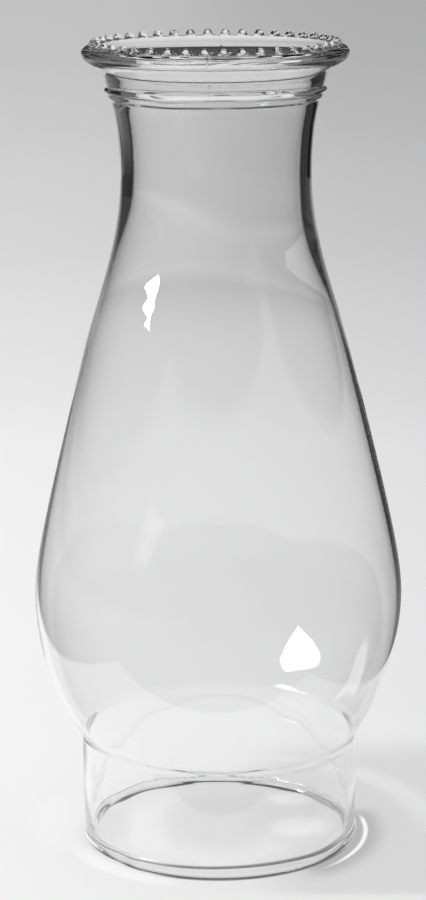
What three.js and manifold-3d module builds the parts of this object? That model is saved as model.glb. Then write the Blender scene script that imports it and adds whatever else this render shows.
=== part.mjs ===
// Hurricane lamp globe: one piece of clear glass with a beaded crown.
// Millimetres, +Z up. The origin is the centre of the rim that the globe stands on.

import * as THREE from 'three';
import { mergeVertices } from 'three/addons/utils/BufferGeometryUtils.js';
import Module from 'manifold-3d';

const wasm = await Module();
wasm.setup();

// Whole globe
const globeHeight = 216;
const facetsAround = 60;

// Fitter, the straight skirt that drops into the lamp's gallery
const fitterRadius = 37.25;
const fitterLength = 26.8;
const fitterWall = 1.5;

// Standing rim, melted in a flame into a thick round bead that stands on a narrow flat
const rimWall = 3.6;
const rimHeight = 2.8;
const rimSwell = 0.4;
const rimFlat = 1.5;
const rimFillet = 0.8;
const rimSteps = 5;

// Bulb, the widest part
const bulbRadius = 49.4;
const bulbHeight = 68.1;
const bulbWall = 1.4;

// Cone, the long shoulder that narrows towards the neck, where the glass was stretched thinnest
const coneRadius = 35.05;
const coneHeight = 135;
const coneTopHeight = 149;
const coneWall = 1;

// Neck, with its narrowest part at the waist, and its full wall from the throat up to the crown
const waistRadius = 24.9;
const waistHeight = 181;
const throatHeight = 172;
const neckWall = 3.1;

// Shape of the blown body's outline between its five stations
const bodySlopeShares = [0, 0, -0.25, 0, 0.23];
const bodySpanShares = [
  { leave: 0.177, arrive: 0.625, steps: 6 },
  { leave: 0.146, arrive: 0.673, steps: 6 },
  { leave: 0.267, arrive: 0.379, steps: 5 },
  { leave: 0.36, arrive: 0.326, steps: 3 },
];

// Crown, pressed in a neck ring, with heights above its foot
const crownHeight = 16.6;
const crownFootRadius = 26.7;
const stepRadius = 27.7;
const stepHeight = 2.3;
const lipRadius = 28.7;
const lipHeight = 3.7;
const collarFootRadius = 28.2;
const collarFootHeight = 4.8;
const collarRadius = 28.8;
const collarHeight = 7.4;
const flangeRadius = 34.6;
const flangeHeight = 13;
const flangeSteps = 5;
const shoulderSteps = 3;

// How the flange swells out of the collar, as shares of its overhang and its rise
const swellShares = [0.1, 0.4];
const edgeShare = 0.47;

// Mouth, the flared inside of the crown, and the step that the plunger left
const mouthRadius = 29.8;
const plungerHeight = 4.9;
const plungerRadius = 24.6;
const plungerStep = 0.5;
const flareShares = [0.45, 0.3];
const flareSteps = 4;

// Beads around the top of the flange
const beadCount = 42;
const beadRadius = 1.3;
const beadCircleRadius = 31.35;
const beadRise = 1.75;
const beadSides = 8;
const beadRings = 4;

const crownFoot = globeHeight - crownHeight;
const seatHeight = globeHeight - beadRise;
const seatRadius = beadCircleRadius + beadRadius;

// A cubic curve through [radius, height] points, without its first point
function bend(from, leave, arrive, to, steps) {
  const corners = [from, leave, arrive, to].map(([radius, height]) => new THREE.Vector2(radius, height));
  return new THREE.CubicBezierCurve(...corners).getPoints(steps).slice(1);
}

function corner(radius, height) {
  return new THREE.Vector2(radius, height);
}

// Thickness of the blown wall at a height, eased from each station to the next
function wallAt(height) {
  const stations = [
    [fitterLength, fitterWall],
    [bulbHeight, bulbWall],
    [coneHeight, coneWall],
    [coneTopHeight, coneWall],
    [throatHeight, neckWall],
  ];
  const above = stations.findIndex(([station]) => station > height);
  if (above < 1) {
    return above === 0 ? fitterWall : neckWall;
  }
  const [[low, lowWall], [high, highWall]] = stations.slice(above - 1);
  return THREE.MathUtils.lerp(lowWall, highWall, THREE.MathUtils.smoothstep(height, low, high));
}

// Outside of the blown body, from the end of the fitter to the foot of the crown
function bodyOutline() {
  const stations = [
    [fitterRadius, fitterLength],
    [bulbRadius, bulbHeight],
    [coneRadius, coneHeight],
    [waistRadius, waistHeight],
    [crownFootRadius, crownFoot],
  ];
  const outline = [corner(...stations[0])];
  bodySpanShares.forEach((span, i) => {
    const from = stations[i];
    const to = stations[i + 1];
    const rise = to[1] - from[1];
    const up = rise * span.leave;
    const down = rise * span.arrive;
    const leave = [from[0] + bodySlopeShares[i] * up, from[1] + up];
    const arrive = [to[0] - bodySlopeShares[i + 1] * down, to[1] - down];
    outline.push(...bend(from, leave, arrive, to, span.steps));
  });
  return outline;
}

// Round rim under the fitter, from its inner face over the bead and its flat to its outer face
function rimOutline() {
  const innerFace = fitterRadius - fitterWall;
  const middle = fitterRadius + rimSwell - rimWall / 2;
  const filletTurn = Math.PI * 0.65;
  const flatTurn = Math.acos(rimFlat / rimWall);
  const faceTurn = Math.acos((fitterRadius - middle) / (rimWall / 2));
  const arc = (start, end) => new THREE.EllipseCurve(middle, rimHeight / 2, rimWall / 2,
    rimHeight / 2 / Math.sin(flatTurn), start, end).getPoints(rimSteps);
  const inside = arc(filletTurn, Math.PI + flatTurn);
  const outside = arc(2 * Math.PI - flatTurn, 2 * Math.PI + faceTurn);
  const filletTop = [innerFace, rimHeight + rimFillet];
  return [
    corner(...filletTop),
    ...bend(filletTop, [innerFace, rimHeight], inside[0].toArray(), inside[0].toArray(), 2),
    ...inside.slice(1),
    ...outside,
  ];
}

// Pressed outside of the crown: step, lip, tapered collar and the rounded flange
function crownOutline() {
  const collarTop = crownFoot + collarHeight;
  const flangeEdge = crownFoot + flangeHeight;
  const overhang = flangeRadius - collarRadius;
  const swell = flangeEdge - collarTop;
  const shoulder = seatHeight - flangeEdge;
  return [
    corner(stepRadius, crownFoot + stepHeight),
    corner(lipRadius, crownFoot + lipHeight),
    corner(collarFootRadius, crownFoot + collarFootHeight),
    corner(collarRadius, collarTop),
    ...bend([collarRadius, collarTop],
      [collarRadius + overhang * swellShares[0], collarTop + swell * swellShares[1]],
      [flangeRadius, flangeEdge - swell * edgeShare], [flangeRadius, flangeEdge], flangeSteps),
    ...bend([flangeRadius, flangeEdge], [flangeRadius, flangeEdge + shoulder / 2],
      [(flangeRadius + seatRadius) / 2, seatHeight], [seatRadius, seatHeight], shoulderSteps),
  ];
}

// Inside of the crown, from the bead seat's inner edge down to the plunger's step
function mouthOutline() {
  const stepTop = crownFoot + plungerHeight;
  const flare = mouthRadius - plungerRadius;
  const drop = seatHeight - stepTop;
  const throat = [plungerRadius, stepTop];
  return [
    corner(mouthRadius, seatHeight),
    ...bend([mouthRadius, seatHeight], [mouthRadius - flare * flareShares[0], seatHeight - drop * flareShares[1]],
      [plungerRadius, stepTop + drop * flareShares[0]], throat, flareSteps),
    corner(plungerRadius - plungerStep, stepTop - plungerStep),
  ];
}

function wallOutline() {
  const outside = bodyOutline();
  const inside = outside.map((point) => corner(point.x - wallAt(point.y), point.y));
  const outline = [
    ...rimOutline(),
    ...outside,
    ...crownOutline(),
    ...mouthOutline(),
    ...inside.reverse(),
  ];
  return [...outline, outline[0].clone()];
}

// A closed geometry as a solid that can be joined to others
function solidOf(geometry) {
  geometry.deleteAttribute('normal');
  geometry.deleteAttribute('uv');
  const merged = mergeVertices(geometry);
  return new wasm.Manifold(new wasm.Mesh({
    numProp: 3,
    vertProperties: merged.attributes.position.array,
    triVerts: new Uint32Array(merged.index.array),
  }));
}

function geometryOf(solid) {
  const mesh = solid.getMesh();
  const geometry = new THREE.BufferGeometry();
  geometry.setAttribute('position', new THREE.BufferAttribute(mesh.vertProperties, 3));
  geometry.setIndex(new THREE.BufferAttribute(mesh.triVerts, 1));
  geometry.computeVertexNormals();
  return geometry;
}

// One bead, a ball sunk into its seat, at a given angle around the flange
function bead(angle) {
  const ball = new THREE.SphereGeometry(beadRadius, beadSides, beadRings);
  ball.rotateX(Math.PI / 2);
  ball.translate(beadCircleRadius, 0, globeHeight - beadRadius);
  ball.rotateZ(angle);
  return solidOf(ball);
}

// The globe's wall is turned round the axis, and its beads are fused to the crown
function globeSolid() {
  const turned = new THREE.LatheGeometry(wallOutline(), facetsAround);
  turned.rotateX(Math.PI / 2);
  let globe = solidOf(turned);
  for (let i = 0; i < beadCount; i += 1) {
    globe = globe.add(bead((2 * Math.PI * i) / beadCount));
  }
  return globe;
}

const clearGlass = new THREE.MeshStandardMaterial({
  color: 0xe9ebea,
  roughness: 0.03,
  metalness: 0,
  transparent: true,
  opacity: 0.35,
});

const globe = new THREE.Mesh(geometryOf(globeSolid()), clearGlass);
globe.name = 'glass_globe';

const lampGlobe = new THREE.Group();
lampGlobe.add(globe);

export default lampGlobe;
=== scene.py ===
import math

import bpy
import numpy as np
from mathutils import Matrix, Vector


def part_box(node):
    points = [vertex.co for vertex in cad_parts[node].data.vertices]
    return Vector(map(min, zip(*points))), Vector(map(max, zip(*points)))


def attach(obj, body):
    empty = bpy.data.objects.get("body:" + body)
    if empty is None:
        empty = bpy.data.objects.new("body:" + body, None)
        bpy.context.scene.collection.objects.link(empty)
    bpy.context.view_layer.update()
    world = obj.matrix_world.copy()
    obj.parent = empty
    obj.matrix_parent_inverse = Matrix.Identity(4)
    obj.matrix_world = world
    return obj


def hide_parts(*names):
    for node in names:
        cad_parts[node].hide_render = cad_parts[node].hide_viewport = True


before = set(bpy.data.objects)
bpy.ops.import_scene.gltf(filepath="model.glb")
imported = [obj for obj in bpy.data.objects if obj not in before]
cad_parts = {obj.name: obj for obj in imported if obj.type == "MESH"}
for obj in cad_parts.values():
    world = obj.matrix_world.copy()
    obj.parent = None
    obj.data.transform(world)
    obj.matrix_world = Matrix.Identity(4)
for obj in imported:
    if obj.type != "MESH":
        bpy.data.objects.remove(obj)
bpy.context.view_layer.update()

# Camera: a long lens a little above the globe, looking down at it, as in the photograph.
# It stands in front of the globe on -Y and leans by a third of a degree. Rays may cross and
# mirror many times, because light winds its way through the thick glass of the crown.
camera_back = 0.6870
camera_height = 0.2723
camera_pitch = math.radians(13.51)
camera_yaw = math.radians(0.104)
camera_lean = math.radians(-0.371)
focal_length = 106.1
sensor_width = 36.0
most_bounces = 40
most_bounces_in_glass = 32

lens = bpy.data.cameras.new("viewer")
lens.lens = focal_length
lens.sensor_width = sensor_width
viewer = bpy.data.objects.new("viewer", lens)
bpy.context.scene.collection.objects.link(viewer)
viewer.matrix_world = (
    Matrix.Translation((0.0, -camera_back, camera_height))
    @ Matrix.Rotation(camera_yaw, 4, "Z")
    @ Matrix.Rotation(math.pi / 2 - camera_pitch, 4, "X")
    @ Matrix.Rotation(camera_lean, 4, "Z")
)
bpy.context.scene.camera = viewer
bpy.context.scene.view_settings.view_transform = "Standard"
bpy.context.scene.cycles.max_bounces = most_bounces
bpy.context.scene.cycles.glossy_bounces = most_bounces_in_glass
bpy.context.scene.cycles.transmission_bounces = most_bounces_in_glass


# Blown wall: clear soda-lime glass, blown and turned in a mould from the fitter skirt to the neck.
# It is thinnest in the cone, where the glass was stretched most, and its bore wavers a little.
globe_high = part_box("glass_globe")[1]
globe_height = globe_high.z

fitter_radius = 0.03725
fitter_length = 0.0268
fitter_wall = 0.0015
knee_radius = 0.03765
knee_height = 0.0305
bulb_allowance = 0.00003
bulb_radius = globe_high.x - bulb_allowance
bulb_height = 0.0681
bulb_wall = 0.0014
cone_radius = 0.03505
cone_height = 0.135
cone_wall = 0.001
cone_top_height = 0.145
waist_radius = 0.0249
waist_height = 0.181
throat_height = 0.175
neck_wall = 0.0031
crown_height = 0.0166
crown_foot = globe_height - crown_height
crown_foot_radius = 0.0267

# How the outline bends between its stations: the slope at each, and the shares of each span at
# which it leaves and arrives, with its number of steps
body_slope_shares = (0.0, 0.6, 0.0, -0.25, 0.0, 0.23)
body_span_shares = (
    (0.38, 0.31, 12), (0.2, 0.5, 20), (0.146, 0.673, 16), (0.267, 0.379, 14), (0.36, 0.326, 8),
)


def bend(start, leave, arrive, end, steps):
    """Points of a cubic curve between two (radius, height) points, without the first."""
    t = np.linspace(0.0, 1.0, steps + 1)[1:, None]
    start, leave, arrive, end = (np.array(p, float) for p in (start, leave, arrive, end))
    return (
        (1 - t) ** 3 * start
        + 3 * (1 - t) ** 2 * t * leave
        + 3 * (1 - t) * t**2 * arrive
        + t**3 * end
    )


def body_outline():
    """Outside of the body from the fitter's end to the crown's foot."""
    stations = (
        (fitter_radius, fitter_length),
        (knee_radius, knee_height),
        (bulb_radius, bulb_height),
        (cone_radius, cone_height),
        (waist_radius, waist_height),
        (crown_foot_radius, crown_foot),
    )
    outline = [np.array([stations[0]])]
    for i, (leaving, arriving, steps) in enumerate(body_span_shares):
        (r0, z0), (r1, z1) = stations[i], stations[i + 1]
        up, down = (z1 - z0) * leaving, (z1 - z0) * arriving
        leave = (r0 + body_slope_shares[i] * up, z0 + up)
        arrive = (r1 - body_slope_shares[i + 1] * down, z1 - down)
        outline.append(bend((r0, z0), leave, arrive, (r1, z1), steps))
    return np.vstack(outline)


def wall_at(height):
    """Thickness of the blown wall, which swells from the thin cone into the pressed crown."""
    heights = (fitter_length, bulb_height, cone_height, cone_top_height, throat_height)
    walls = (fitter_wall, bulb_wall, cone_wall, cone_wall, neck_wall)
    i = int(np.clip(np.searchsorted(heights, height) - 1, 0, len(walls) - 2))
    t = min(1.0, max(0.0, (height - heights[i]) / (heights[i + 1] - heights[i])))
    return walls[i] + (walls[i + 1] - walls[i]) * t * t * (3 - 2 * t)


# Standing rim: where the globe was cut from the blowpipe and melted round in a flame.
# The heat drew the glass into a thicker round edge, which wavers and isn't quite a circle.
rim_wall = 0.0036
rim_height = 0.0028
rim_swell = 0.0004
rim_fillet = 0.0008
rim_fillet_lead = (0.0003, 0.0001)
rim_fillet_steps = 4
rim_sag = 0.00005
rim_middle = fitter_radius + rim_swell - rim_wall / 2

# Turn in degrees over which the section runs on either side of the flat, with its number of steps
rim_inner_turn = (118, 264, 18)
rim_outer_turn = (276, 401, 13)

# Swells round the circle, as (count, size, phase), in shares of the height and in metres outwards
rim_swells = ((1, 0.18, math.pi / 2), (2, 0.05, 0.6), (5, 0.03, 0.3))
rim_oval = ((2, 0.00012, 1.0),)

# Places where the soft rim was nipped: bearing, half width and size of each kink
rim_kinks = (
    (math.radians(239), math.radians(6), 0.00045),
    (math.radians(209), math.radians(7), 0.00040),
    (math.radians(143), math.radians(6), -0.00040),
    (math.radians(317), math.radians(5), 0.00030),
    (math.radians(52), math.radians(8), -0.00025),
)


def rim_arc(start, end, steps):
    """Part of the rim's round section, flattened where it stands."""
    turn = np.radians(np.linspace(start, end, steps + 1))
    heights = rim_height / 2 + (rim_height / 2 + rim_sag) * np.sin(turn)
    return np.stack([rim_middle + rim_wall / 2 * np.cos(turn), np.maximum(heights, 0.0)], 1)


def rim_outline():
    """From the fitter's inner face, down round the rim and up to its outer face."""
    inner_face = fitter_radius - fitter_wall
    fillet_top = (inner_face, rim_height + rim_fillet)
    inside = rim_arc(*rim_inner_turn)
    return np.vstack([
        [(inner_face, fitter_length / 2), fillet_top],
        bend(fillet_top, (inner_face, rim_height), inside[0] + rim_fillet_lead, inside[0], rim_fillet_steps),
        inside[1:],
        rim_arc(*rim_outer_turn),
        [(fitter_radius, height) for height in (rim_height, rim_height * 1.5, fitter_length / 2)],
    ])


def waves(angle, swells):
    """Sum of even swells round the globe, each given by its count, its size and its phase."""
    return sum(size * np.sin(count * angle + phase) for count, size, phase in swells)


def turn_from(place, angle, whole=2 * math.pi):
    """Turn from a place to an angle, the short way round the whole circle or one pitch of it."""
    return (angle - place + whole / 2) % whole - whole / 2


def rim_shift(angle):
    """How far the rim stands out of its circle, with a kink at each place where it was nipped."""
    shift = waves(angle, rim_oval)
    for place, width, size in rim_kinks:
        away = turn_from(place, angle) / width
        shift = shift + size * away * np.exp(0.5 - away**2 / 2)
    return shift


# Crown: pressed in a two-part neck ring before the body was blown, so it is thick and crisp.
# A step and a lip show where the ring met the body mould, and the flange rolls out over a collar.
ring_corners = (
    (0.0267, 0.0004), (0.02675, 0.0011), (0.02785, 0.0018), (0.0279, 0.0029), (0.0288, 0.0034),
    (0.0288, 0.0038), (0.0280, 0.0044), (0.0282, 0.0050),
)
ring_rounding = 0.0003
ring_rounding_steps = 3
ring_swells = ((5, 0.00016, 0.9), (9, 0.00011, 2.0), (17, 0.00006, 0.0))
ring_swell_height = 0.0028
ring_swell_reach = 0.0013
collar_radius = 0.0288
collar_height = 0.0074
flange_radius = 0.0346
flange_height = 0.013
flange_steps = 10
shoulder_steps = 7
swell_shares = (0.1, 0.4)
edge_share = 0.47

mouth_radius = 0.0298
mouth_drop = 0.0001
mouth_steps = 10
plunger_height = 0.0049
plunger_radius = 0.0246
plunger_step = 0.0005
plunger_steps = 4
flare_shares = (0.45, 0.3)

bead_count = 42
bead_radius = 0.0013
bead_circle_radius = 0.03135
bead_rise = 0.00175
bead_start = math.radians(3.66)
seat_height = globe_height - bead_rise
seat_radius = bead_circle_radius + bead_radius
seat_overlap = 0.0002
seat_ring_shares = (1.06, 0.99, 0.92, 0.79, 0.6, 0.34, 0.0)


def rounded(points, reach, steps):
    """A run of straight lines with each inner corner rounded over the given reach."""
    most_of_line, pull = 0.45, 0.6
    points = np.array(points, float)
    out = [points[:1]]
    for before, corner, after in zip(points[:-2], points[1:-1], points[2:]):
        back_length, on_length = np.linalg.norm(corner - before), np.linalg.norm(after - corner)
        start = corner + (before - corner) / back_length * min(reach, most_of_line * back_length)
        end = corner + (after - corner) / on_length * min(reach, most_of_line * on_length)
        out.append(np.array([start]))
        out.append(bend(start, start + (corner - start) * pull, end + (corner - end) * pull, end, steps))
    out.append(points[-1:])
    return np.vstack(out)


def crown_outline():
    """Outside of the crown from just above its foot to the outer edge of the bead seat."""
    collar_top = crown_foot + collar_height
    flange_edge = crown_foot + flange_height
    overhang = flange_radius - collar_radius
    swell = flange_edge - collar_top
    shoulder = seat_height - flange_edge
    ring = [(radius, crown_foot + rise) for radius, rise in ring_corners]
    return np.vstack([
        rounded(ring + [(collar_radius, collar_top)], ring_rounding, ring_rounding_steps),
        bend((collar_radius, collar_top),
             (collar_radius + overhang * swell_shares[0], collar_top + swell * swell_shares[1]),
             (flange_radius, flange_edge - swell * edge_share), (flange_radius, flange_edge), flange_steps),
        bend((flange_radius, flange_edge), (flange_radius, flange_edge + shoulder / 2),
             ((flange_radius + seat_radius) / 2, seat_height), (seat_radius + seat_overlap, seat_height),
             shoulder_steps),
    ])


def seat_outline():
    """Across the bead seat, from its outer edge to its inner edge."""
    shares = np.array(seat_ring_shares)
    offsets = np.concatenate([shares, -shares[:-1][::-1]]) * bead_radius
    return np.stack([bead_circle_radius + offsets, np.full(len(offsets), seat_height)], 1)


def mouth_outline():
    """Inside of the crown, from the seat's inner edge down to the plunger's step."""
    lip = (mouth_radius, seat_height - mouth_drop)
    step_top = crown_foot + plunger_height
    step_middle = step_top - plunger_step / 2
    throat_radius = plunger_radius - plunger_step
    flare = mouth_radius - plunger_radius
    drop = seat_height - step_top
    return np.vstack([
        [lip],
        bend(lip, (mouth_radius - flare * flare_shares[0], seat_height - drop * flare_shares[1]),
             (plunger_radius, step_top + drop * flare_shares[0]), (plunger_radius, step_top), mouth_steps),
        bend((plunger_radius, step_top), (plunger_radius, step_middle), (throat_radius, step_middle),
             (throat_radius, step_top - plunger_step), plunger_steps),
    ])


# Beads and mould seams: glass beads pressed in one with the crown stand in a ring on its seat, and
# two fine seams run up the crown where the halves of the neck ring met. The beads are domes raised
# from the seat itself, with the glass fused all round their feet.
bead_roundness = 0.42
bead_column_shares = (0.17, 0.33, 0.46, 0.54, 0.61, 0.74, 0.87)

seam_angles = (math.radians(-2.8), math.radians(177.2))
seam_height = 0.00022
seam_width = 0.0002
seam_start = 0.0023
seam_fade = 0.001
seam_clearance = 0.0006
seam_columns = (-0.00045, -0.00025, -0.00012, 0.0, 0.00012, 0.00025, 0.00045)


def bead_lift(radius, angle):
    """How far the seat's surface rises into a bead at a point of the crown."""
    around = turn_from(bead_start, angle, 2 * math.pi / bead_count)
    away = np.hypot(radius - bead_circle_radius, around * radius) / bead_radius
    return bead_rise * np.clip(1 - away**2, 0, 1) ** bead_roundness


def seam_ridge(radius, angle):
    """How far a mould seam stands out of the crown's surface."""
    away = [turn_from(seam, angle) * radius / seam_width for seam in seam_angles]
    return sum(seam_height * np.exp(-(share**2)) for share in away)


def crown_angles():
    """Angles of the crown's columns: close together on each bead and at each seam."""
    half_pitch = math.pi / bead_count
    shares = np.array(bead_column_shares)
    one_bead = np.concatenate([-shares[::-1], [0.0], shares, [1.0]]) * half_pitch
    columns = np.concatenate([bead_start + 2 * half_pitch * i + one_bead for i in range(bead_count)])
    for seam in seam_angles:
        clear = np.abs(turn_from(seam, columns)) > seam_clearance / collar_radius
        columns = np.concatenate([columns[clear], seam + np.array(seam_columns) / collar_radius])
    return np.sort(columns % (2 * math.pi))


# Whole globe: one piece of clear glass with nothing glued or fixed to it, so the rim, the wall,
# the crown and the beads are a single closed skin. It is turned ring by ring, up the outside and
# down the bore.
body_columns = 252
rim_top = fitter_length / 3
rim_fade = 0.005

# The bore turns from the fitter into the bulb a little lower down than the outside does
knee_span = (0.014, 0.029, 0.036, 0.055)
knee_sink = 0.00028

# How much thicker the wall is on the globe's right at each height, as a share of its thickness,
# and the swells that turn with the height: count, size, phase and turn for each metre
bore_lean = ((0.02, 0.0), (bulb_height, 0.1), (0.12, 0.24), (0.162, 0.24), (throat_height, -0.09))
bore_swells = ((2, 0.03, -0.5, 1 / 0.045), (3, 0.02, 1.9, -1 / 0.03))

glass_colour = (0.985, 0.988, 0.986, 1.0)
glass_index = 1.5
glass_shade_colour = (0.97, 0.97, 0.97, 1.0)


def wavering(angle, height):
    """Unevenness of the blown wall, as a share of its thickness."""
    swells = [(count, size, phase + height * turn) for count, size, phase, turn in bore_swells]
    return np.interp(height, *zip(*bore_lean)) * np.sin(angle) + waves(angle, swells)


def make_rings():
    """All the rings in order round the wall's section, as (angles, radii, heights)."""
    around = np.linspace(0.0, 2 * math.pi, body_columns, endpoint=False)
    crown = crown_angles()
    outside = body_outline()
    rings = []
    for radius, height in rim_outline():
        melted = min(1.0, max(0.0, (rim_top - height) / rim_fade))
        level = height * (1 + melted * waves(around, rim_swells))
        rings.append((around, radius + melted * rim_shift(around), level))
    rings += [(around, radius, height) for radius, height in outside]
    for radius, height in crown_outline():
        rise = height - crown_foot
        grown = max(0.0, min(1.0, (rise - seam_start) / seam_fade))
        soft = math.exp(-(((rise - ring_swell_height) / ring_swell_reach) ** 2))
        level = height + soft * waves(crown, ring_swells)
        rings.append((crown, radius + grown * seam_ridge(radius, crown), level))
    rings += [(crown, radius, height + bead_lift(radius, crown)) for radius, height in seat_outline()]
    rings += [(crown, radius, height) for radius, height in mouth_outline()]
    for radius, height in outside[::-1]:
        bore = radius - wall_at(height) * (1 + wavering(around, height))
        rings.append((around, bore, height - np.interp(height, knee_span, (0.0, knee_sink, knee_sink, 0.0))))
    return rings


def strip(angles, others, below, above):
    """Faces between two rings: squares where their columns match, or else a zip of triangles."""
    n, m = len(angles), len(others)
    if n == m:
        return [(below + j, below + (j + 1) % n, above + (j + 1) % n, above + j) for j in range(n)]
    faces = []
    a = b = 0
    while a < n or b < m:
        next_a = angles[a + 1] if a + 1 < n else angles[0] + 2 * math.pi
        next_b = others[b + 1] if b + 1 < m else others[0] + 2 * math.pi
        if b == m or (a < n and next_a <= next_b):
            faces.append((below + a % n, below + (a + 1) % n, above + b % m))
            a += 1
        else:
            faces.append((below + a % n, above + (b + 1) % m, above + b % m))
            b += 1
    return faces


def sew(rings):
    """Vertices and faces of the closed skin through the rings."""
    points, faces = [], []
    firsts = np.cumsum([0] + [len(angles) for angles, _, _ in rings]).tolist()
    for i, (angles, radii, heights) in enumerate(rings):
        level = heights + np.zeros_like(angles)
        points.append(np.stack([radii * np.sin(angles), -radii * np.cos(angles), level], 1))
        k = (i + 1) % len(rings)
        faces += strip(angles, rings[k][0], firsts[i], firsts[k])
    return np.vstack(points), faces


points, faces = sew(make_rings())
skin = bpy.data.meshes.new("glass_globe_skin")
skin.from_pydata(points.tolist(), [], faces)
skin.validate()
skin.shade_smooth()
glass = bpy.data.objects.new("lamp_globe", skin)
bpy.context.scene.collection.objects.link(glass)
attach(glass, "root")
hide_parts("glass_globe")

clear_glass = bpy.data.materials.new("clear_glass")
clear_glass.use_nodes = True
nodes, links = clear_glass.node_tree.nodes, clear_glass.node_tree.links
surface = nodes["Principled BSDF"]
surface.inputs["Base Color"].default_value = glass_colour
surface.inputs["Roughness"].default_value = 0.0
surface.inputs["IOR"].default_value = glass_index
surface.inputs["Transmission Weight"].default_value = 1.0
let_through = nodes.new("ShaderNodeBsdfTransparent")
let_through.inputs["Color"].default_value = glass_shade_colour
path = nodes.new("ShaderNodeLightPath")
mix = nodes.new("ShaderNodeMixShader")
links.new(path.outputs["Is Shadow Ray"], mix.inputs["Fac"])
links.new(surface.outputs["BSDF"], mix.inputs[1])
links.new(let_through.outputs["BSDF"], mix.inputs[2])
links.new(mix.outputs["Shader"], nodes["Material Output"].inputs["Surface"])
skin.materials.append(clear_glass)


# Floor: one wide sheet of pale matt paper, with painted light that is palest where the globe stands and
# greyer far away.
# It lies flat on a bench. In the glass only a short sheet of it is mirrored, with a dim table
# around it, as in a small studio.
floor_reach = 9.0
floor_sides = 64
# Painted falloff of the light: the paper's tone at each distance from the globe
painted_falloff_tones = (
    (0.0, 0.97), (0.06, 0.96), (0.13, 0.927), (0.25, 0.905), (0.37, 0.877), (0.46, 0.858), (0.56, 0.806),
    (0.68, 0.763), (0.82, 0.723), (1.0, 0.671), (1.2, 0.642), (1.7, 0.58), (2.4, 0.53), (3.4, 0.512),
    (4.6, 0.50), (floor_reach, 0.52),
)
# How much of its tone the paper glows with, painted light and shade included, besides being lit as matt
# paper
glow_share = 0.62

# Painted side light: the paper is lighter on the globe's left, the side the lamps stand on, than on its
# right
side_light_rate = 8.0
side_light_swing = -0.11
side_light_tone = 0.94

# Painted contact shade: a dark line on the paper where the rim stands, strongest just right of the front,
# seen through one wall at most
contact_shade_ring = (
    rim_middle - rim_wall / 3, rim_middle - rim_wall / 6,
    rim_middle + rim_wall / 4, rim_middle + rim_wall / 2,
)
contact_shade_bearing = math.radians(20)
contact_shade_fade = (math.radians(35), math.radians(57))
contact_shade_tones = (0.3, 0.95)


def maths(tree, operation, *values):
    """One step of node arithmetic on sockets and numbers."""
    node = tree.nodes.new("ShaderNodeMath")
    node.operation = operation
    for socket, value in zip(node.inputs, values):
        if isinstance(value, bpy.types.NodeSocket):
            tree.links.new(value, socket)
        else:
            socket.default_value = value
    return node.outputs["Value"]


def product(tree, first, *others):
    """All the given masks and factors multiplied together."""
    for other in others:
        first = maths(tree, "MULTIPLY", first, other)
    return first


def ease(tree, value, start, end, low=0.0, high=1.0):
    """Smooth step of a socket from low at the start to high at the end."""
    node = tree.nodes.new("ShaderNodeMapRange")
    node.interpolation_type = "SMOOTHSTEP"
    tree.links.new(value, node.inputs["Value"])
    for name, number in (("From Min", start), ("From Max", end), ("To Min", low), ("To Max", high)):
        if isinstance(number, bpy.types.NodeSocket):
            tree.links.new(number, node.inputs[name])
        else:
            node.inputs[name].default_value = number
    return node.outputs["Result"]


def choose(tree, mask, off, on):
    """The first value where the mask is 0 and the second where it is 1."""
    return ease(tree, mask, 0.0, 1.0, off, on)


def between(tree, value, start, full, fading, gone):
    """A mask that rises over the first two values and falls again over the last two."""
    return product(tree, ease(tree, value, start, full), ease(tree, value, gone, fading))


def ray_mask(tree, path, kind, least, most=None):
    """A mask of the rays with at least, and at most, so many bounces of a kind behind them."""
    mask = maths(tree, "GREATER_THAN", path.outputs[kind + " Depth"], least - 0.5)
    if most is not None:
        mask = product(tree, mask, maths(tree, "LESS_THAN", path.outputs[kind + " Depth"], most + 0.5))
    return mask


floor_skin = bpy.data.meshes.new("paper_floor")
turns = np.linspace(0.0, 2 * math.pi, floor_sides, endpoint=False)
edge = [(math.cos(turn) * floor_reach, math.sin(turn) * floor_reach, 0.0) for turn in turns]
floor_skin.from_pydata(edge, [], [tuple(range(floor_sides))])
floor = bpy.data.objects.new("paper_floor", floor_skin)
bpy.context.scene.collection.objects.link(floor)

paper = bpy.data.materials.new("pale_paper")
paper.use_nodes = True
tree = paper.node_tree
nodes, links = tree.nodes, tree.links
matt = nodes["Principled BSDF"]
matt.inputs["Roughness"].default_value = 1.0
matt.inputs["Specular IOR Level"].default_value = 0.0

place = nodes.new("ShaderNodeTexCoord")
split = nodes.new("ShaderNodeSeparateXYZ")
links.new(place.outputs["Object"], split.inputs["Vector"])
across, back = split.outputs["X"], split.outputs["Y"]
distance = nodes.new("ShaderNodeVectorMath")
distance.operation = "LENGTH"
links.new(place.outputs["Object"], distance.inputs[0])
radius = distance.outputs["Value"]
bearing = maths(tree, "ARCTAN2", across, maths(tree, "MULTIPLY", back, -1.0))

path = nodes.new("ShaderNodeLightPath")
mirrored = ray_mask(tree, path, "Glossy", 1)
mirrored_often = ray_mask(tree, path, "Glossy", 2)
lighting = ray_mask(tree, path, "Diffuse", 1)
first_mirror = product(tree, mirrored, ray_mask(tree, path, "Transmission", 0, 0))
through_one_wall = ray_mask(tree, path, "Transmission", 0, 2)
inside_wall = product(tree, mirrored, through_one_wall, path.outputs["Is Transmission Ray"])
through_glass = product(
    tree, maths(tree, "SUBTRACT", 1.0, mirrored), ray_mask(tree, path, "Transmission", 2),
)

# Painted falloff of the light with the distance from the globe
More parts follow.
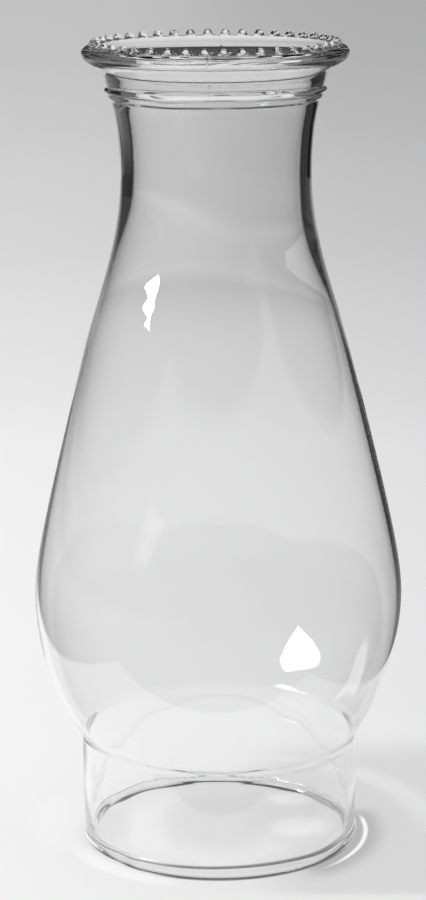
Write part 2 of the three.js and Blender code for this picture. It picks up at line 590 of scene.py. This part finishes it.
ramp = nodes.new("ShaderNodeValToRGB")
while len(ramp.color_ramp.elements) < len(painted_falloff_tones):
    ramp.color_ramp.elements.new(1.0)
for element, (reach, tone) in zip(ramp.color_ramp.elements, painted_falloff_tones):
    element.position = reach / floor_reach
    element.color = (tone, tone, tone, 1.0)
links.new(maths(tree, "DIVIDE", radius, floor_reach), ramp.inputs["Fac"])
# Painted side light, lighter on the globe's left
side_light = maths(tree, "TANH", maths(tree, "MULTIPLY", across, side_light_rate))
side_light = maths(tree, "MULTIPLY_ADD", side_light, side_light_swing, side_light_tone)
# Painted contact shade under the rim, which takes the place of the painted side light there
from_front = maths(tree, "ABSOLUTE", maths(tree, "SUBTRACT", bearing, contact_shade_bearing))
contact_shade = ease(tree, from_front, *contact_shade_fade, *contact_shade_tones)
under_rim = product(tree, between(tree, radius, *contact_shade_ring), through_one_wall)
shade = product(tree, ramp.outputs["Color"], choose(tree, under_rim, side_light, contact_shade))

# Light thrown by the glass on the paper: its shadow lies to the right, darkest by the rim, with a
# bright line along the rim and a soft one behind it, and a halo on the left. Widths are in metres,
# turns in degrees from the front, and a ring is its radius and its reach.
shadow_across = (-0.002, 0.03, 0.1, 0.34)
shadow_back = (-0.052, -0.042, 0.045, 0.085)
shadow_factor = 0.85
rim_shadow_turn = (25, 50, 98, 118)
rim_shadow_start = (0.0365, 0.0375)
rim_shadow_end = (0.0395, 0.048)
rim_shadow_factor = 0.68
back_glow_ring = (0.0585, 0.008)
back_glow_start = (-0.02, 0.02)
back_glow_factor = 1.1
halo_ring = (0.0405, 0.005)
halo_turn = (-85, -55, -30, -5)
halo_factor = 1.11
bright_line_ring = (0.0401, 0.0012)
bright_line_turn = (32, 66, 96, 107)
bright_line_tone = 1.05

# Places in and around the base that the wall and the bulb dim or brighten: the middle of each
# oval, its half widths, and its factor
oval_edge = (0.1, 1.2)
light_ovals = (
    ((0.000, -0.004), (0.036, 0.036), 1.06),
    ((0.033, 0.004), (0.008, 0.020), 1.07),
    ((-0.032, -0.001), (0.008, 0.021), 0.93),
    ((0.001, 0.005), (0.021, 0.027), 0.87),
    ((0.021, -0.012), (0.015, 0.018), 1.07),
    ((0.022, 0.001), (0.010, 0.009), 1.14),
    ((0.021, 0.023), (0.008, 0.006), 1.16),
    ((-0.044, 0.005), (0.010, 0.024), 1.04),
    ((-0.020, 0.002), (0.008, 0.024), 1.03),
)

# Far paper seen straight through the glass is lighter
far_lift_span = (1.35, 2.3)
far_lift_factor = 1.27


def toned(tree, shade, mask, factor):
    """The shade, times the factor where the mask is 1."""
    return product(tree, shade, choose(tree, mask, 1.0, factor))


def ridge(tree, value, middle, reach):
    """A mask that is 1 where the value is at the middle and 0 beyond its reach."""
    return ease(tree, maths(tree, "ABSOLUTE", maths(tree, "SUBTRACT", value, middle)), 0.0, reach, 1.0, 0.0)


def sector(tree, bearing, turn):
    """A mask of the part of the circle between the given turns."""
    return between(tree, bearing, *(math.radians(angle) for angle in turn))


def oval(tree, across, back, middle, reach, factor):
    """The factor in the middle of an oval on the floor, and 1 outside it."""
    squares = [
        maths(tree, "POWER", maths(tree, "MULTIPLY_ADD", value, 1 / half, -centre / half), 2.0)
        for value, centre, half in zip((across, back), middle, reach)
    ]
    return ease(tree, maths(tree, "ADD", *squares), *oval_edge, factor, 1.0)


to_right = between(tree, across, *shadow_across)
shade = toned(tree, shade, product(tree, to_right, between(tree, back, *shadow_back)), shadow_factor)
by_rim = product(tree, sector(tree, bearing, rim_shadow_turn), ease(tree, radius, *rim_shadow_start))
shade = toned(tree, shade, by_rim, ease(tree, radius, *rim_shadow_end, rim_shadow_factor, 1.0))
back_glow = product(tree, ridge(tree, radius, *back_glow_ring), ease(tree, back, *back_glow_start))
shade = toned(tree, shade, product(tree, back_glow, to_right), back_glow_factor)
for middle, reach, factor in light_ovals:
    shade = product(tree, shade, oval(tree, across, back, middle, reach, factor))
halo = product(tree, ridge(tree, radius, *halo_ring), sector(tree, bearing, halo_turn))
shade = toned(tree, shade, halo, halo_factor)
bright_line = product(tree, ridge(tree, radius, *bright_line_ring), sector(tree, bearing, bright_line_turn))
paper_tone = choose(tree, bright_line, shade, bright_line_tone)
paper_tone = toned(tree, paper_tone, through_glass, ease(tree, radius, *far_lift_span, 1.0, far_lift_factor))
links.new(paper_tone, matt.inputs["Base Color"])

# What the glass mirrors of the floor: a sheet that widens far behind the globe where the glass
# mirrors it first, and round it the dim table, which a window lightens on the left. Glass that
# mirrors light more than once shows one scattered tone.
sheet_middle = -0.018
sheet_half = 0.128
sheet_front = -0.088
sheet_ends = (1.6, 4.6)
sheet_edge = 0.006
spread_start = 0.6
spread_softness = -0.6
table_fade = (0.15, 0.55)
table_tones = (0.33, 0.03)
table_tone_inside = 0.012
window_across = (-0.05, -0.45)
window_fade = (0.85, 1.45)
window_tones = (0.5, 0.03)
scattered_tone = 0.15

spread = maths(tree, "MAXIMUM", maths(tree, "SUBTRACT", back, spread_start), 0.0)
spread = product(tree, spread, first_mirror)
wide = maths(tree, "SUBTRACT", maths(tree, "ABSOLUTE", maths(tree, "ADD", across, -sheet_middle)), spread)
full_width = maths(tree, "MULTIPLY_ADD", spread, spread_softness, sheet_half - sheet_edge)
sheet = product(
    tree, ease(tree, wide, sheet_half, full_width),
    ease(tree, back, sheet_front, sheet_front + sheet_edge),
    maths(tree, "LESS_THAN", back, choose(tree, first_mirror, *sheet_ends)),
)
table = choose(tree, inside_wall, ease(tree, radius, *table_fade, *table_tones), table_tone_inside)
table = choose(tree, mirrored_often, table, scattered_tone)
by_window = product(tree, ease(tree, across, *window_across), first_mirror)
table = choose(tree, by_window, table, ease(tree, radius, *window_fade, *window_tones))
off_sheet = product(tree, mirrored, maths(tree, "SUBTRACT", 1.0, sheet))

# The paper glows with its painted tones: fully in mirrored rays, by the glow share in other rays, and not at
# all in rays that come from a matt bounce
glow = nodes.new("ShaderNodeEmission")
links.new(choose(tree, off_sheet, paper_tone, table), glow.inputs["Color"])
mix = nodes.new("ShaderNodeMixShader")
seen_glow = product(tree, maths(tree, "SUBTRACT", 1.0, lighting), glow_share)
links.new(maths(tree, "MAXIMUM", seen_glow, mirrored), mix.inputs["Fac"])
links.new(matt.outputs["BSDF"], mix.inputs[1])
links.new(glow.outputs["Emission"], mix.inputs[2])
links.new(mix.outputs["Shader"], nodes["Material Output"].inputs["Surface"])
floor_skin.materials.append(paper)


# Studio: an even pale room for the camera, and a dim one with a lighter ceiling in mirrored rays.
# Clear glass shows its shape by those mirrored rays, so the room's darkness draws its edges.
room_tone = 1.0
backdrop_tone = 0.66
backdrop_end = 0.24
dark_start = 0.33
dark_tone = 0.04
ceiling_tone = 0.06
ceiling_start = 0.5
ceiling_end = 0.9

world = bpy.data.worlds.new("studio")
bpy.context.scene.world = world
world.use_nodes = True
tree = world.node_tree
room = tree.nodes["Background"]
facing = tree.nodes.new("ShaderNodeTexCoord")
split = tree.nodes.new("ShaderNodeSeparateXYZ")
tree.links.new(facing.outputs["Generated"], split.inputs["Vector"])
upward = split.outputs["Z"]
path = tree.nodes.new("ShaderNodeLightPath")
dim_room = ease(tree, upward, ceiling_start, ceiling_end, dark_tone, ceiling_tone)
dim_room = choose(tree, ray_mask(tree, path, "Glossy", 2), dim_room, scattered_tone)
behind = ease(tree, upward, backdrop_end, dark_start, backdrop_tone, dim_room)
seen_room = choose(tree, ray_mask(tree, path, "Glossy", 1), behind, dim_room)
lit_room = choose(tree, ray_mask(tree, path, "Diffuse", 1), seen_room, room_tone)
tree.links.new(lit_room, room.inputs["Color"])


# Lamps: soft panels on the left, which light the paper and show in the glass as a sliver on the
# cone, a pointed patch in the bulb and a crescent at its edge. Each is seen by one kind of ray.
# A small dark flag keeps the sliver's panel from shining in the crown.
key_turn = math.radians(-68)
key_away = 0.95
key_strength = 22.0
patch_corners = (
    (0.094, 0.344), (-0.023, 0.3645), (-0.163, 0.377), (-0.255, 0.401), (-0.368, 0.426), (-0.399, 0.455),
    (-0.401, 0.491), (-0.275, 0.553), (-0.10, 0.629), (0.046, 0.702), (0.144, 0.712), (0.207, 0.683),
    (0.204, 0.650), (0.184, 0.533), (0.133, 0.425),
)
sliver_away = 0.075
sliver_corners = (
    (0.0189, 0.1723), (0.0225, 0.1722), (0.0225, 0.1711), (0.0195, 0.1686), (0.0206, 0.1664),
    (0.0178, 0.1641), (0.0194, 0.1615), (0.0209, 0.1603), (0.0172, 0.1605), (0.0117, 0.1606),
    (0.0146, 0.1632), (0.0074, 0.1635), (0.0057, 0.1643), (0.0106, 0.1671), (0.0028, 0.1677),
    (0.0035, 0.1683), (0.0121, 0.1706),
)
flag_away = 0.05
flag_tone = 0.15
flag_corners = ((-0.03, 0.17), (0.04, 0.17), (0.04, 0.204), (-0.03, 0.204))
crescent_away = 0.97
crescent_corners = (
    (0.09, 0.38), (-0.16, 0.40), (-0.29, 0.46), (-0.37, 0.56), (-0.48, 0.625), (-0.48, 0.66), (-0.26, 0.665),
    (0.05, 0.78), (0.40, 0.985), (0.36, 0.885), (0.175, 0.75), (0.215, 0.665), (0.24, 0.605), (0.18, 0.49),
)

outward = Vector((math.sin(key_turn), -math.cos(key_turn), 0.0))
sideways = Vector((math.cos(key_turn), math.sin(key_turn), 0.0))
upwards = Vector((0.0, 0.0, 1.0))


def soft_panel(name, away, corners, mirrors, crossings, strength, lights_paper=False):
    """A glowing panel facing the globe, seen only after so many mirrorings and crossings of glass."""
    skin = bpy.data.meshes.new(name)
    points = [outward * away + sideways * across + upwards * up for across, up in corners]
    skin.from_pydata(points, [], [tuple(range(len(points)))])
    panel = bpy.data.objects.new(name, skin)
    bpy.context.scene.collection.objects.link(panel)
    light = bpy.data.materials.new(name + "_light")
    light.use_nodes = True
    tree = light.node_tree
    tree.nodes.remove(tree.nodes["Principled BSDF"])
    path = tree.nodes.new("ShaderNodeLightPath")
    seen = product(
        tree, ray_mask(tree, path, "Glossy", *mirrors), ray_mask(tree, path, "Transmission", *crossings),
    )
    if lights_paper:
        seen = maths(tree, "MAXIMUM", seen, path.outputs["Is Diffuse Ray"])
    clear = tree.nodes.new("ShaderNodeBsdfTransparent")
    shine = tree.nodes.new("ShaderNodeEmission")
    shine.inputs["Strength"].default_value = strength
    mix = tree.nodes.new("ShaderNodeMixShader")
    tree.links.new(seen, mix.inputs["Fac"])
    tree.links.new(clear.outputs["BSDF"], mix.inputs[1])
    tree.links.new(shine.outputs["Emission"], mix.inputs[2])
    tree.links.new(mix.outputs["Shader"], tree.nodes["Material Output"].inputs["Surface"])
    skin.materials.append(light)


soft_panel("key_panel", key_away, patch_corners, (1, 1), (4, 4), key_strength, lights_paper=True)
soft_panel("sliver_panel", sliver_away, sliver_corners, (1, 1), (0, 0), key_strength)
soft_panel("sliver_flag", flag_away, flag_corners, (1, 1), (0, 0), flag_tone)
soft_panel("crescent_panel", crescent_away, crescent_corners, (2, 16), (3, 16), key_strength)
